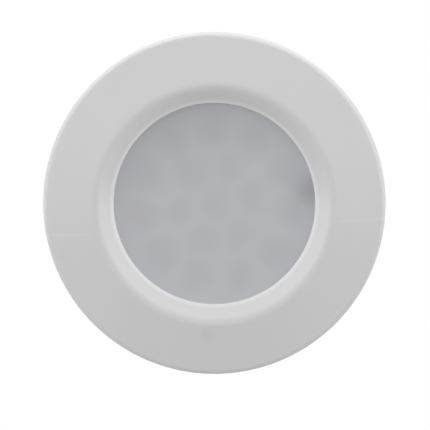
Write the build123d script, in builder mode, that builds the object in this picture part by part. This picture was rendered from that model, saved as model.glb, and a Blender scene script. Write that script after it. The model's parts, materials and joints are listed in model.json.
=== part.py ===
from build123d import *
from math import cos, radians, sin
import os

# A round recessed light with a motion sensor hidden behind its frosted window.
# The part stands as it would in a wall or cabinet side: its face looks along -Y, +Z is up and
# +X is to the right of someone facing it. The origin is the centre of the flange's back face,
# so y = 0 is the surface of the board that the light is let into. Every "_y" below is a place
# along Y, and what lies behind the board's surface has a positive one. Sizes are millimetres.

# Face of the bezel
flange_radius = 35.0
flange_edge_height = 2.15
flange_edge_rounding = 1.2
crest_radius = 23.95
crest_height = 4.88
crest_rounding = 2.1
window_radius = 20.6
window_lip_height = 1.95
window_lip_rounding = 0.25
flange_wall = 1.8
flange_seat_width = 2.0

# Diffuser, its seal and the pocket that they sit in
diffuser_front_y = -1.4
diffuser_thickness = 1.5
diffuser_radius = 23.4
pocket_radius = 23.6
seal_groove_inner_radius = 22.5
seal_groove_depth = 1.0
skirt_radius = 25.4
skirt_end_y = 5.0
stop_ring_radius = 26.5
part_gap = 0.2

# Snap lugs that hold the bezel's skirt in the housing
snap_count = 3
snap_reach = 0.8
snap_front_y = 2.4
snap_length = 1.2
snap_width = 7.0

# Housing: a wide spigot that fills the cut-out, then a narrower can
spigot_radius = 27.4
spigot_front_y = -1.2
shoulder_y = 7.0
housing_wall = 1.7
can_radius = 23.2
can_inner_radius = 21.4
can_end_y = 25.0
ledge_inner_radius = 20.0
ledge_thickness = 1.5
spigot_chamfer = 0.6

# Light engine, from the diffuser back
board_radius = 21.2
cup_end_y = 7.5
led_board_thickness = 1.2
thermal_pad_thickness = 0.4
thermal_pad_radius = 20.0
spreader_thickness = 1.6
led_board_back_y = cup_end_y + led_board_thickness
thermal_pad_back_y = led_board_back_y + thermal_pad_thickness
spreader_back_y = thermal_pad_back_y + spreader_thickness

# Eighteen square LEDs: one in the middle, six round it and eleven round those
led_width = 5.0
led_height = 1.6
led_window_radius = 2.0
led_window_depth = 0.9
inner_ring_radius = 8.15
inner_ring_count = 6
inner_ring_start = 9.25
outer_ring_radius = 15.8
outer_ring_count = 11
outer_ring_start = -7.3
chip_ring_radius = 12.0

# Motion sensor board, which stands on edge through a slot beside the LEDs
sensor_angle = 6.8
sensor_face_radius = 18.4
sensor_board_thickness = 0.8
sensor_finger_width = 3.6
sensor_tip_y = 1.6
sensor_base_width = 12.0
sensor_base_y = 12.5
antenna_thickness = 0.8

# Driver board and what stands on it
driver_front_y = 16.4
driver_thickness = 1.6
driver_back_y = driver_front_y + driver_thickness
driver_radius = 20.8
spacer_circle_radius = 17.0
spacer_angles = (55, 125, 270)
spacer_flats = 3.6
small_screw_radius = 0.85
small_head_radius = 1.7
small_head_height = 1.3
screw_slack = 0.05
link_z = 12.0
link_pitch = 2.54
link_pin_width = 0.64

# Rear cover, its screws, the dials and the cable's grommet
cover_thickness = 2.0
cover_back_y = can_end_y + cover_thickness
cover_ring_depth = 1.2
boss_circle_radius = 19.6
boss_radius = 2.0
boss_front_y = 13.0
boss_angles = (90, 210, 330)
cover_screw_radius = 0.9
cover_head_radius = 1.9
dial_x = 10.6
dial_z = 6.5
dial_radius = 2.9
dial_hole_radius = 3.2
dial_front_y = 22.9
dial_back_y = 26.6
dial_stem_radius = 1.5
dial_stem_slack = 0.06
trimmer_width = 6.6
trimmer_height = 4.6
grommet_z = -9.5
grommet_neck_radius = 4.2
grommet_flange_radius = 5.2
grommet_bore_radius = 2.6
grommet_front_y = 23.9
grommet_back_y = 28.2

# Spring clips: each arm turns on a pin between two ears of the housing
pivot_x = 25.2
pivot_y = 15.5
pivot_pin_radius = 1.0
pivot_running_clearance = 0.05
clip_rest_angle = -54.0
clip_half_width = 4.3
clip_thickness = 1.0
clip_eye_radius = 1.7
clip_length = 12.8
clip_tip_half_width = 3.0
coil_space_half_width = 3.3
coil_space_reach = 2.5
sleeve_start = 9.4
sleeve_end = 13.6
sleeve_thickness = 2.2
sleeve_half_width = 3.5
ear_inner_z = 4.6
ear_thickness = 1.3
ear_root_x = 22.2
ear_front_y = 10.6
ear_back_y = 18.6
stop_pin_radius = 0.6
stop_along_arm = 2.7
stop_below_arm = 1.3
press_slack = 0.02
coil_radius = 1.55
wire_radius = 0.3
leg_radius = 0.27
coil_half_length = 2.7

os.makedirs("parts", exist_ok=True)


def save(builder, node_name):
    """Name the finished piece and write it as its own STEP file."""
    builder.part.label = node_name
    export_step(builder.part, f"parts/{node_name}.step")


def layer(depth_y):
    """The plane across the axis at this depth. It faces the front, with X right and Z up."""
    return Plane.XZ.offset(-depth_y)


def polar_point(radius, angle):
    """The place at this radius and angle on a layer, counted from +X towards +Z."""
    return (radius * cos(radians(angle)), radius * sin(radians(angle)))


def at_every_led(draw_shape):
    """Draw the shape at each of the LEDs' places, turned with its ring."""
    draw_shape()
    with PolarLocations(inner_ring_radius, inner_ring_count, inner_ring_start):
        draw_shape()
    with PolarLocations(outer_ring_radius, outer_ring_count, outer_ring_start):
        draw_shape()


def draw_sensor_slot(clearance):
    """The slot that the sensor board's finger passes through, drawn on a layer."""
    slot_depth = sensor_board_thickness + antenna_thickness + 2 * clearance
    slot_width = sensor_finger_width + 2 * clearance
    slot_middle = sensor_face_radius + (sensor_board_thickness + antenna_thickness) / 2
    with Locations(Location((*polar_point(slot_middle, sensor_angle), 0), (0, 0, sensor_angle))):
        Rectangle(slot_depth, slot_width, mode=Mode.SUBTRACT)


# ---------------------------------------------------------------- bezel
seat_inner_radius = flange_radius - flange_seat_width
flange_slope = (crest_height - flange_edge_height) / (flange_radius - crest_radius)


def flange_underside(radius):
    """The place along Y of the flange's hollow back at this radius: one wall behind its face."""
    face_height = crest_height - (radius - crest_radius) * flange_slope
    return flange_wall - face_height


with BuildPart() as bezel:
    with BuildSketch(Plane.XY):
        with BuildLine():
            FilletPolyline(
                (flange_radius, 0),
                (flange_radius, -flange_edge_height),
                (crest_radius, -crest_height),
                (window_radius, -window_lip_height),
                (window_radius, diffuser_front_y),
                radius=(flange_edge_rounding, crest_rounding, window_lip_rounding),
            )
            Polyline(
                (window_radius, diffuser_front_y),
                (seal_groove_inner_radius, diffuser_front_y),
                (seal_groove_inner_radius, diffuser_front_y - seal_groove_depth),
                (pocket_radius, diffuser_front_y - seal_groove_depth),
                (pocket_radius, skirt_end_y),
                (skirt_radius, skirt_end_y),
                (skirt_radius, spigot_front_y),
                (stop_ring_radius, spigot_front_y),
                (stop_ring_radius, flange_underside(stop_ring_radius)),
                (seat_inner_radius, flange_underside(seat_inner_radius)),
                (seat_inner_radius, 0),
                (flange_radius, 0),
            )
        make_face()
    revolve(axis=Axis.Y)
    # stiffening ribs behind the flange, which stop short of the board
    rib_inner_radius = spigot_radius + 1.4
    rib_length = seat_inner_radius - rib_inner_radius + 0.5
    with BuildSketch(layer(-0.3)):
        with PolarLocations(rib_inner_radius + rib_length / 2, 24, 7.5):
            Rectangle(rib_length, 0.9)
    extrude(amount=2.0)
    # snap lugs on the skirt
    with BuildSketch(layer(snap_front_y + snap_length)):
        with PolarLocations(skirt_radius, snap_count, 30):
            Rectangle(2 * snap_reach, snap_width)
        Circle(skirt_radius - 0.4, mode=Mode.SUBTRACT)
    extrude(amount=snap_length)
save(bezel, "bezel")

# ---------------------------------------------------------------- diffuser and seal
diffuser_back_y = diffuser_front_y + diffuser_thickness

with BuildPart() as diffuser:
    with BuildSketch(layer(diffuser_back_y)):
        Circle(diffuser_radius)
    extrude(amount=diffuser_thickness)
    chamfer(diffuser.edges().filter_by(GeomType.CIRCLE), 0.2)
save(diffuser, "diffuser")

with BuildPart() as diffuser_seal:
    with BuildSketch(layer(diffuser_front_y)):
        Circle(pocket_radius - 0.1)
        Circle(seal_groove_inner_radius + 0.1, mode=Mode.SUBTRACT)
    extrude(amount=seal_groove_depth - 0.1)
    fillet(diffuser_seal.edges().group_by(Axis.Y)[0], 0.4)
save(diffuser_seal, "diffuser_seal")

# ---------------------------------------------------------------- reflector cup
cup_rim_radius = diffuser_radius
cup_wall_radius = can_inner_radius - 0.1
cup_throat_radius = 20.3

with BuildPart() as reflector_cup:
    with BuildSketch(Plane.XY):
        with BuildLine():
            Polyline(
                (cup_rim_radius - 1.0, diffuser_back_y),
                (cup_rim_radius, diffuser_back_y),
                (cup_rim_radius, diffuser_back_y + 1.0),
                (cup_wall_radius, skirt_end_y),
                (cup_wall_radius, cup_end_y),
                (cup_throat_radius, cup_end_y),
                (cup_throat_radius, skirt_end_y),
                close=True,
            )
        make_face()
    revolve(axis=Axis.Y)
save(reflector_cup, "reflector_cup")

# ---------------------------------------------------------------- LED board
with BuildPart() as led_board:
    with BuildSketch(layer(led_board_back_y)):
        Circle(board_radius)
        draw_sensor_slot(part_gap)
        with Locations((0, link_z)):
            with GridLocations(link_pitch, 0, 2, 1):
                Circle(0.5, mode=Mode.SUBTRACT)
        # notches that the factory's jig holds the board by
        with PolarLocations(board_radius, 2, 90):
            Circle(1.0, mode=Mode.SUBTRACT)
    extrude(amount=led_board_thickness)
save(led_board, "led_board")

with BuildPart() as led_packages:
    with BuildSketch(layer(cup_end_y)):
        at_every_led(lambda: RectangleRounded(led_width, led_width, 0.3))
    extrude(amount=led_height)
    with BuildSketch(layer(cup_end_y - led_height)):
        at_every_led(lambda: Circle(led_window_radius))
    extrude(amount=-led_window_depth, mode=Mode.SUBTRACT)
save(led_packages, "led_packages")

phosphor_back_y = cup_end_y - led_height + led_window_depth
with BuildPart() as led_phosphor:
    with BuildSketch(layer(phosphor_back_y)):
        at_every_led(lambda: Circle(led_window_radius - press_slack))
    extrude(amount=led_window_depth - 0.15)
save(led_phosphor, "led_phosphor")

with BuildPart() as led_resistors:
    with BuildSketch(layer(cup_end_y)):
        with PolarLocations(chip_ring_radius, inner_ring_count, inner_ring_start):
            Rectangle(0.8, 1.6)
    extrude(amount=0.5)
save(led_resistors, "led_resistors")

# ---------------------------------------------------------------- heat path
with BuildPart() as thermal_pad:
    with BuildSketch(layer(thermal_pad_back_y)):
        Circle(thermal_pad_radius)
        draw_sensor_slot(2 * part_gap)
        with Locations((0, link_z)):
            Rectangle(2 * link_pitch, link_pitch, mode=Mode.SUBTRACT)
    extrude(amount=thermal_pad_thickness)
save(thermal_pad, "thermal_pad")

with BuildPart() as heat_spreader:
    with BuildSketch(layer(spreader_back_y)):
        Circle(board_radius)
        draw_sensor_slot(part_gap)
        with Locations((0, link_z)):
            RectangleRounded(2 * link_pitch, link_pitch, 0.5, mode=Mode.SUBTRACT)
    extrude(amount=spreader_thickness)
save(heat_spreader, "heat_spreader")

# ---------------------------------------------------------------- motion sensor
sensor_direction = (cos(radians(sensor_angle)), 0, sin(radians(sensor_angle)))
sensor_across = (-sin(radians(sensor_angle)), 0, cos(radians(sensor_angle)))
# local x runs across the board, local y towards the light's face, and out is away from its axis
sensor_plane = Plane(
    origin=[sensor_face_radius * part for part in sensor_direction],
    x_dir=sensor_across,
    z_dir=sensor_direction,
)

with BuildPart() as sensor_board:
    with BuildSketch(sensor_plane):
        with Locations((0, -(sensor_tip_y + driver_front_y) / 2)):
            Rectangle(sensor_finger_width, driver_front_y - sensor_tip_y)
        with Locations((0, -(sensor_base_y + driver_front_y) / 2)):
            Rectangle(sensor_base_width, driver_front_y - sensor_base_y)
    extrude(amount=sensor_board_thickness)
save(sensor_board, "sensor_board")

with BuildPart() as sensor_antenna:
    with BuildSketch(sensor_plane.offset(sensor_board_thickness)):
        with Locations((0, -(sensor_tip_y + 2.2))):
            Rectangle(sensor_finger_width - 0.2, 4.0)
    extrude(amount=antenna_thickness)
save(sensor_antenna, "sensor_antenna")

with BuildPart() as sensor_chip:
    with BuildSketch(sensor_plane):
        with Locations((-1.5, -(sensor_base_y + 1.9))):
            Rectangle(3.0, 3.0)
        with Locations((3.5, -(sensor_base_y + 1.9))):
            Rectangle(2.5, 2.0)
    extrude(amount=-0.8)
save(sensor_chip, "sensor_chip")

with BuildPart() as sensor_header:
    with BuildSketch(sensor_plane.offset(-2.4)):
        with Locations((0, -(driver_front_y - 0.6))):
            Rectangle(8.0, 1.2)
    extrude(amount=1.5)
save(sensor_header, "sensor_header")

# ---------------------------------------------------------------- spacers and driver board
spacer_points = [polar_point(spacer_circle_radius, angle) for angle in spacer_angles]
boss_points = [polar_point(boss_circle_radius, angle) for angle in boss_angles]
small_screw_front_y = driver_front_y - 3.0

with BuildPart() as spacers:
    with BuildSketch(layer(driver_front_y)):
        with Locations(*spacer_points):
            RegularPolygon(spacer_flats / 2, 6, major_radius=False)
    extrude(amount=driver_front_y - spreader_back_y)
    with BuildSketch(layer(driver_front_y)):
        with Locations(*spacer_points):
            Circle(small_screw_radius + screw_slack)
    extrude(amount=driver_front_y - small_screw_front_y + part_gap, mode=Mode.SUBTRACT)
save(spacers, "spacers")

with BuildPart() as driver_board:
    with BuildSketch(layer(driver_back_y)):
        Circle(driver_radius)
        with Locations(*boss_points):
            Circle(boss_radius + 0.3, mode=Mode.SUBTRACT)
        with Locations(*spacer_points):
            Circle(small_screw_radius + 2 * screw_slack, mode=Mode.SUBTRACT)
        with Locations((0, link_z)):
            with GridLocations(link_pitch, 0, 2, 1):
                Circle(0.5, mode=Mode.SUBTRACT)
    extrude(amount=driver_thickness)
save(driver_board, "driver_board")

with BuildPart() as driver_board_screws:
    with BuildSketch(layer(driver_back_y)):
        with Locations(*spacer_points):
            Circle(small_screw_radius)
    extrude(amount=driver_back_y - small_screw_front_y)
    with BuildSketch(layer(driver_back_y)):
        with Locations(*spacer_points):
            Circle(small_head_radius)
    extrude(amount=-small_head_height)
    fillet(driver_board_screws.edges().group_by(Axis.Y)[-1], 0.5)
    with BuildSketch(layer(driver_back_y + small_head_height)):
        with Locations(*spacer_points):
            Rectangle(2.2, 0.5)
            Rectangle(0.5, 2.2)
    extrude(amount=0.7, mode=Mode.SUBTRACT)
save(driver_board_screws, "driver_board_screws")

with BuildPart() as board_link_block:
    with BuildSketch(layer(driver_front_y)):
        with Locations((0, link_z)):
            Rectangle(2 * link_pitch, link_pitch)
            with GridLocations(link_pitch, 0, 2, 1):
                Rectangle(link_pin_width + 0.04, link_pin_width + 0.04, mode=Mode.SUBTRACT)
    extrude(amount=2.5)
save(board_link_block, "board_link_block")

with BuildPart() as board_link_pins:
    with BuildSketch(layer(driver_back_y + 0.9)):
        with Locations((0, link_z)):
            with GridLocations(link_pitch, 0, 2, 1):
                Rectangle(link_pin_width, link_pin_width)
    extrude(amount=driver_back_y + 0.9 - (cup_end_y - 0.6))
save(board_link_pins, "board_link_pins")

# ---------------------------------------------------------------- parts on the driver board
with BuildPart() as driver_chip:
    with BuildSketch(layer(driver_back_y + 1.6)):
        with Locations((0, -6.5)):
            Rectangle(4.0, 5.0)
    extrude(amount=1.4)
    with BuildSketch(layer(driver_back_y + 0.9)):
        for side in (-1, 1):
            with Locations((side * 2.5, -6.5)):
                with GridLocations(0, 1.27, 1, 4):
                    Rectangle(1.2, 0.42)
    extrude(amount=0.9)
save(driver_chip, "driver_chip")

with BuildPart() as microcontroller:
    with BuildSketch(layer(driver_front_y)):
        with Locations((-6, 0)):
            Rectangle(5.0, 5.0)
    extrude(amount=0.9)
save(microcontroller, "microcontroller")

with BuildPart() as power_transistor:
    with BuildSketch(layer(driver_front_y)):
        with Locations((4, 5)):
            Rectangle(6.5, 3.5)
    extrude(amount=1.7)
    with BuildSketch(layer(driver_front_y)):
        with Locations((4, 2.5)):
            with GridLocations(2.3, 0, 3, 1):
                Rectangle(0.8, 1.6)
    extrude(amount=0.4)
save(power_transistor, "power_transistor")

with BuildPart() as inductor:
    with BuildSketch(layer(driver_back_y + 4.0)):
        with Locations((9.5, -5.5)):
            RectangleRounded(6.0, 6.0, 1.2)
    extrude(amount=4.0)
    chamfer(inductor.edges().group_by(Axis.Y)[-1], 0.5)
save(inductor, "inductor")

with BuildPart() as bulk_capacitor:
    with BuildSketch(layer(driver_back_y + 1.0)):
        with Locations((-9.5, -5.5)):
            Rectangle(6.6, 6.6)
    extrude(amount=1.0)
    with BuildSketch(layer(driver_back_y + 1.0)):
        with Locations((-9.5, -5.5)):
            Circle(3.15)
    extrude(amount=-4.8)
    fillet(bulk_capacitor.edges().group_by(Axis.Y)[-1], 0.5)
save(bulk_capacitor, "bulk_capacitor")

with BuildPart() as rectifier_diodes:
    with BuildSketch(layer(driver_back_y + 2.2)):
        with Locations((0, -12.6)):
            with GridLocations(11.0, 0, 2, 1):
                Rectangle(4.3, 2.6)
    extrude(amount=2.2)
save(rectifier_diodes, "rectifier_diodes")

with BuildPart() as driver_passives:
    with BuildSketch(layer(driver_back_y + 0.6)):
        for column_x in (-16.5, 16.5):
            with Locations((column_x, -1.0)):
                with GridLocations(0, 2.4, 1, 4):
                    Rectangle(1.6, 0.8)
        with Locations((0, 9.4)):
            with GridLocations(2.6, 0, 4, 1):
                Rectangle(0.8, 1.6)
    extrude(amount=0.6)
save(driver_passives, "driver_passives")

# ---------------------------------------------------------------- terminal block
terminal_z = 3.0
terminal_pitch = 5.0
terminal_depth = 7.6
terminal_height = 5.8
terminal_bottom_z = terminal_z - terminal_depth / 2

with BuildPart() as terminal_block:
    with BuildSketch(layer(driver_back_y + terminal_height)):
        with Locations((0, terminal_z)):
            Rectangle(2 * terminal_pitch, terminal_depth)
    extrude(amount=terminal_height)
    chamfer(terminal_block.edges().group_by(Axis.Y)[-1].filter_by(Axis.X), 0.8)
    # wells over the screws and square mouths for the wires, which open towards the grommet
    with BuildSketch(layer(driver_back_y + terminal_height)):
        with Locations((0, terminal_z)):
            with GridLocations(terminal_pitch, 0, 2, 1):
                Circle(1.8)
    extrude(amount=terminal_height - 1.0, mode=Mode.SUBTRACT)
    with BuildSketch(Plane.XY.offset(terminal_bottom_z)):
        with Locations((0, driver_back_y + 2.4)):
            with GridLocations(terminal_pitch, 0, 2, 1):
                Rectangle(3.0, 2.8)
    extrude(amount=terminal_depth / 2, mode=Mode.SUBTRACT)
save(terminal_block, "terminal_block")

with BuildPart() as terminal_screws:
    with BuildSketch(layer(driver_back_y + terminal_height - 0.6)):
        with Locations((0, terminal_z)):
            with GridLocations(terminal_pitch, 0, 2, 1):
                Circle(1.7)
    extrude(amount=1.4)
    with BuildSketch(layer(driver_back_y + terminal_height - 2.0)):
        with Locations((0, terminal_z)):
            with GridLocations(terminal_pitch, 0, 2, 1):
                Circle(1.2)
    extrude(amount=1.6)
    with BuildSketch(layer(driver_back_y + terminal_height - 0.6)):
        with Locations((0, terminal_z)):
            with GridLocations(terminal_pitch, 0, 2, 1):
                Rectangle(3.6, 0.6)
    extrude(amount=0.7, mode=Mode.SUBTRACT)
save(terminal_screws, "terminal_screws")

# ---------------------------------------------------------------- trimmers and dials
trimmer_back_y = driver_back_y + trimmer_height

with BuildPart() as trimmer_bodies:
    with BuildSketch(layer(trimmer_back_y)):
        with Locations((0, dial_z)):
            with GridLocations(2 * dial_x, 0, 2, 1):
                Rectangle(trimmer_width, trimmer_width)
                Circle(dial_stem_radius + dial_stem_slack, mode=Mode.SUBTRACT)
    extrude(amount=trimmer_height - 1.0)
    with BuildSketch(layer(driver_back_y + 1.0)):
        with Locations((0, dial_z)):
            with GridLocations(2 * dial_x, 0, 2, 1):
                Rectangle(trimmer_width, trimmer_width)
    extrude(amount=1.0)
save(trimmer_bodies, "trimmer_bodies")


def make_dial(side):
    """A round dial with a screwdriver slot, on a stem that turns in its trimmer."""
    with BuildPart() as dial:
        with BuildSketch(layer(dial_back_y)):
            with Locations((side * dial_x, dial_z)):
                Circle(dial_radius)
        extrude(amount=dial_back_y - dial_front_y)
        chamfer(dial.edges().group_by(Axis.Y)[-1], 0.3)
        with BuildSketch(layer(dial_front_y)):
            with Locations((side * dial_x, dial_z)):
                Circle(dial_stem_radius)
        extrude(amount=dial_front_y - (driver_back_y + 1.4))
        with BuildSketch(layer(dial_back_y)):
            with Locations((side * dial_x, dial_z)):
                Rectangle(0.9, 4.4)
            # the arrow head that shows where the dial points
            with Locations((side * dial_x, dial_z + 1.5)):
                RegularPolygon(1.0, 3, rotation=90)
        extrude(amount=1.0, mode=Mode.SUBTRACT)
    return dial


save(make_dial(-1), "time_dial")
save(make_dial(1), "range_dial")

# ---------------------------------------------------------------- spring clips
arm_direction = (cos(radians(clip_rest_angle)), sin(radians(clip_rest_angle)), 0)
# local x runs along the arm, local y is the arm's rear side, and out is along the pivot
arm_plane = Plane(origin=(pivot_x, pivot_y, 0), x_dir=arm_direction, z_dir=(0, 0, 1))
arm_plan = Plane(
    origin=(pivot_x, pivot_y, 0),
    x_dir=arm_direction,
    z_dir=(-arm_direction[1], arm_direction[0], 0),
)
stop_pin_place = arm_plane.from_local_coords((stop_along_arm, -stop_below_arm, 0))
ear_outer_z = ear_inner_z + ear_thickness

with BuildPart() as right_clip_arm:
    with BuildSketch(arm_plane):
        Circle(clip_eye_radius)
        with Locations((clip_length / 2, 0)):
            Rectangle(clip_length, clip_thickness)
    extrude(amount=clip_half_width, both=True)
    with BuildSketch(arm_plane):
        Rectangle(2 * coil_space_reach, 2 * coil_space_reach)
    extrude(amount=coil_space_half_width, both=True, mode=Mode.SUBTRACT)
    with BuildSketch(arm_plane):
        Circle(pivot_pin_radius + pivot_running_clearance)
    extrude(amount=clip_half_width, both=True, mode=Mode.SUBTRACT)
    # seen square on, the arm narrows to a rounded tip
    with BuildSketch(arm_plan):
        with BuildLine():
            FilletPolyline(
                (-clip_eye_radius, -clip_half_width),
                (coil_space_reach + 0.5, -clip_half_width),
                (sleeve_start - 1.0, -clip_tip_half_width),
                (clip_length, -clip_tip_half_width),
                (clip_length, clip_tip_half_width),
                (sleeve_start - 1.0, clip_tip_half_width),
                (coil_space_reach + 0.5, clip_half_width),
                (-clip_eye_radius, clip_half_width),
                radius=(2.0, 2.0, 1.2, 1.2, 2.0, 2.0),
            )
            Line((-clip_eye_radius, clip_half_width), (-clip_eye_radius, -clip_half_width))
        make_face()
    extrude(amount=clip_eye_radius, both=True, mode=Mode.INTERSECT)
save(right_clip_arm, "right_clip_arm")

with BuildPart() as right_clip_sleeve:
    with BuildSketch(arm_plane):
        with Locations(((sleeve_start + sleeve_end) / 2, 0)):
            RectangleRounded(sleeve_end - sleeve_start, sleeve_thickness, 0.7)
    extrude(amount=sleeve_half_width, both=True)
    cavity_end = clip_length + press_slack
    with BuildSketch(arm_plane):
        with Locations(((sleeve_start + cavity_end) / 2, 0)):
            Rectangle(cavity_end - sleeve_start, clip_thickness + 2 * press_slack)
    extrude(amount=clip_tip_half_width + press_slack, both=True, mode=Mode.SUBTRACT)
save(right_clip_sleeve, "right_clip_sleeve")

# The torsion spring's envelope: a wound tube with one leg on the can and one on the arm
leg_z = coil_half_length - wire_radius
fixed_leg_plane = Plane(
    origin=(pivot_x - coil_radius, pivot_y, -leg_z), x_dir=(1, 0, 0), z_dir=(0, 1, 0)
)
arm_leg_start = arm_plane.from_local_coords((0, coil_radius, leg_z))
arm_leg_end = arm_plane.from_local_coords((7.5, clip_thickness / 2 + wire_radius + 0.15, leg_z))
arm_leg = arm_leg_end - arm_leg_start

with BuildPart() as right_clip_spring:
    with BuildSketch(Plane(origin=(pivot_x, pivot_y, 0), z_dir=(0, 0, 1))):
        Circle(coil_radius + wire_radius)
        Circle(coil_radius - wire_radius, mode=Mode.SUBTRACT)
    extrude(amount=coil_half_length, both=True)
    with BuildSketch(fixed_leg_plane):
        Circle(leg_radius)
    extrude(amount=7.0)
    with BuildSketch(Plane(origin=arm_leg_start, z_dir=arm_leg)):
        Circle(leg_radius)
    extrude(amount=arm_leg.length)
save(right_clip_spring, "right_clip_spring")

with BuildPart() as right_pivot_pin:
    with BuildSketch(Plane(origin=(pivot_x, pivot_y, 0), z_dir=(0, 0, 1))):
        Circle(pivot_pin_radius)
    extrude(amount=ear_outer_z + 0.3, both=True)
    chamfer(right_pivot_pin.edges().filter_by(GeomType.CIRCLE), 0.2)
save(right_pivot_pin, "right_pivot_pin")

with BuildPart() as right_stop_pin:
    with BuildSketch(Plane(origin=stop_pin_place, z_dir=(0, 0, 1))):
        Circle(stop_pin_radius)
    extrude(amount=ear_outer_z, both=True)
save(right_stop_pin, "right_stop_pin")

right_clip_pieces = {
    "clip_arm": right_clip_arm,
    "clip_sleeve": right_clip_sleeve,
    "clip_spring": right_clip_spring,
    "pivot_pin": right_pivot_pin,
    "stop_pin": right_stop_pin,
}
for piece_name, right_piece in right_clip_pieces.items():
    with BuildPart() as left_piece:
        mirror(right_piece.part, about=Plane.YZ)
    save(left_piece, f"left_{piece_name}")

# ---------------------------------------------------------------- housing
spigot_inner_radius = skirt_radius + part_gap
spigot_floor_y = shoulder_y - housing_wall
ledge_back_y = spreader_back_y + ledge_thickness

with BuildPart() as housing:
    with BuildSketch(Plane.XY):
        with BuildLine():
            Polyline(
                (spigot_inner_radius, spigot_front_y),
                (spigot_radius, spigot_front_y),
                (spigot_radius, shoulder_y - spigot_chamfer),
                (spigot_radius - spigot_chamfer, shoulder_y),
                (can_radius, shoulder_y),
                (can_radius, can_end_y),
                (can_inner_radius, can_end_y),
                (can_inner_radius, ledge_back_y),
                (ledge_inner_radius, ledge_back_y),
                (ledge_inner_radius, spreader_back_y),
                (can_inner_radius, spreader_back_y),
                (can_inner_radius, spigot_floor_y),
                (spigot_inner_radius, spigot_floor_y),
                close=True,
            )
        make_face()
    revolve(axis=Axis.Y)
    # pockets that the bezel's lugs snap into
    with BuildSketch(layer(snap_front_y + snap_length + 0.4)):
        with PolarLocations(skirt_radius, snap_count, 30):
            Rectangle(2 * (snap_reach + part_gap), snap_width + 2 * part_gap)
    extrude(amount=snap_length + 0.6, mode=Mode.SUBTRACT)
    # bosses for the cover's screws
    with BuildSketch(layer(can_end_y)):
        with Locations(*boss_points):
            Circle(boss_radius)
    extrude(amount=can_end_y - boss_front_y)
    with BuildSketch(layer(can_end_y)):
        with Locations(*boss_points):
            Circle(cover_screw_radius + screw_slack)
    extrude(amount=8.0, mode=Mode.SUBTRACT)
    # ears that carry the clips' pins, two on each side
    for side in (-1, 1):
        for ear_z in (-ear_outer_z, ear_inner_z):
            with BuildSketch(Plane.XY.offset(ear_z)):
                with Locations((side * (ear_root_x + 0.1), (ear_front_y + ear_back_y) / 2)):
                    Rectangle(0.2, ear_back_y - ear_front_y)
                with Locations((side * pivot_x, pivot_y)):
                    Circle(clip_eye_radius - 0.2)
                with Locations((side * stop_pin_place.X, stop_pin_place.Y)):
                    Circle(stop_pin_radius + 0.5)
                make_hull()
            extrude(amount=ear_thickness)
        with BuildSketch(Plane.XY):
            with Locations((side * pivot_x, pivot_y)):
                Circle(pivot_pin_radius + press_slack)
            with Locations((side * stop_pin_place.X, stop_pin_place.Y)):
                Circle(stop_pin_radius + press_slack)
        extrude(amount=ear_outer_z + 1.0, both=True, mode=Mode.SUBTRACT)
save(housing, "housing")

# ---------------------------------------------------------------- rear cover
with BuildPart() as rear_cover:
    with BuildSketch(layer(cover_back_y)):
        Circle(can_radius)
    extrude(amount=cover_thickness)
    fillet(rear_cover.edges().group_by(Axis.Y)[-1], 0.6)
    # the ring inside that centres the cover in the can, cut away at the bosses
    with BuildSketch(layer(can_end_y)):
        Circle(can_inner_radius - 0.1)
        Circle(can_inner_radius - 1.3, mode=Mode.SUBTRACT)
        with Locations(*boss_points):
            Circle(boss_radius + part_gap, mode=Mode.SUBTRACT)
    extrude(amount=cover_ring_depth)
    # holes for the dials, each in a shallow round recess
    with BuildSketch(layer(cover_back_y)):
        with Locations((0, dial_z)):
            with GridLocations(2 * dial_x, 0, 2, 1):
                Circle(dial_hole_radius + 1.2)
    extrude(amount=0.4, mode=Mode.SUBTRACT)
    with BuildSketch(layer(cover_back_y)):
        with Locations((0, dial_z)):
            with GridLocations(2 * dial_x, 0, 2, 1):
                Circle(dial_hole_radius)
        with Locations((0, grommet_z)):
            Circle(grommet_neck_radius)
    extrude(amount=cover_thickness, mode=Mode.SUBTRACT)
    # countersunk holes for the cover's screws
    with Locations(Plane(origin=(0, cover_back_y, 0), x_dir=(1, 0, 0), z_dir=(0, 1, 0))):
        with Locations(*[(x, -z) for x, z in boss_points]):
            CounterSinkHole(cover_screw_radius + screw_slack, cover_head_radius, cover_thickness)
save(rear_cover, "rear_cover")

head_depth = cover_head_radius - cover_screw_radius
screw_head_y = cover_back_y - 0.1
screw_shank_radius = cover_screw_radius - screw_slack

with BuildPart() as one_cover_screw:
    with BuildSketch(Plane.XY):
        with BuildLine():
            Polyline(
                (0, screw_head_y),
                (cover_head_radius - 0.15, screw_head_y),
                (screw_shank_radius, screw_head_y - head_depth),
                (screw_shank_radius, can_end_y - 6.5),
                (0, can_end_y - 7.4),
                close=True,
            )
        make_face()
    revolve(axis=Axis.Y)
    with BuildSketch(layer(screw_head_y)):
        Rectangle(2.0, 0.45)
        Rectangle(0.45, 2.0)
    extrude(amount=0.6, mode=Mode.SUBTRACT)

with BuildPart() as cover_screws:
    with Locations(*[(boss_x, 0, boss_z) for boss_x, boss_z in boss_points]):
        add(one_cover_screw.part)
save(cover_screws, "cover_screws")

with BuildPart() as cable_grommet:
    with BuildSketch(Plane.XY.offset(grommet_z)):
        with BuildLine():
            Polyline(
                (grommet_bore_radius, grommet_front_y),
                (grommet_flange_radius - 0.4, grommet_front_y),
                (grommet_flange_radius, can_end_y),
                (grommet_neck_radius - press_slack, can_end_y),
                (grommet_neck_radius - press_slack, cover_back_y),
                (grommet_flange_radius, cover_back_y),
                (grommet_flange_radius - 0.6, grommet_back_y),
                (grommet_bore_radius, grommet_back_y),
                close=True,
            )
        make_face()
    revolve(axis=Axis((0, 0, grommet_z), (0, 1, 0)))
save(cable_grommet, "cable_grommet")
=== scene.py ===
import json
from math import cos, log, pi, radians, sin, sqrt, tan

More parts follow.
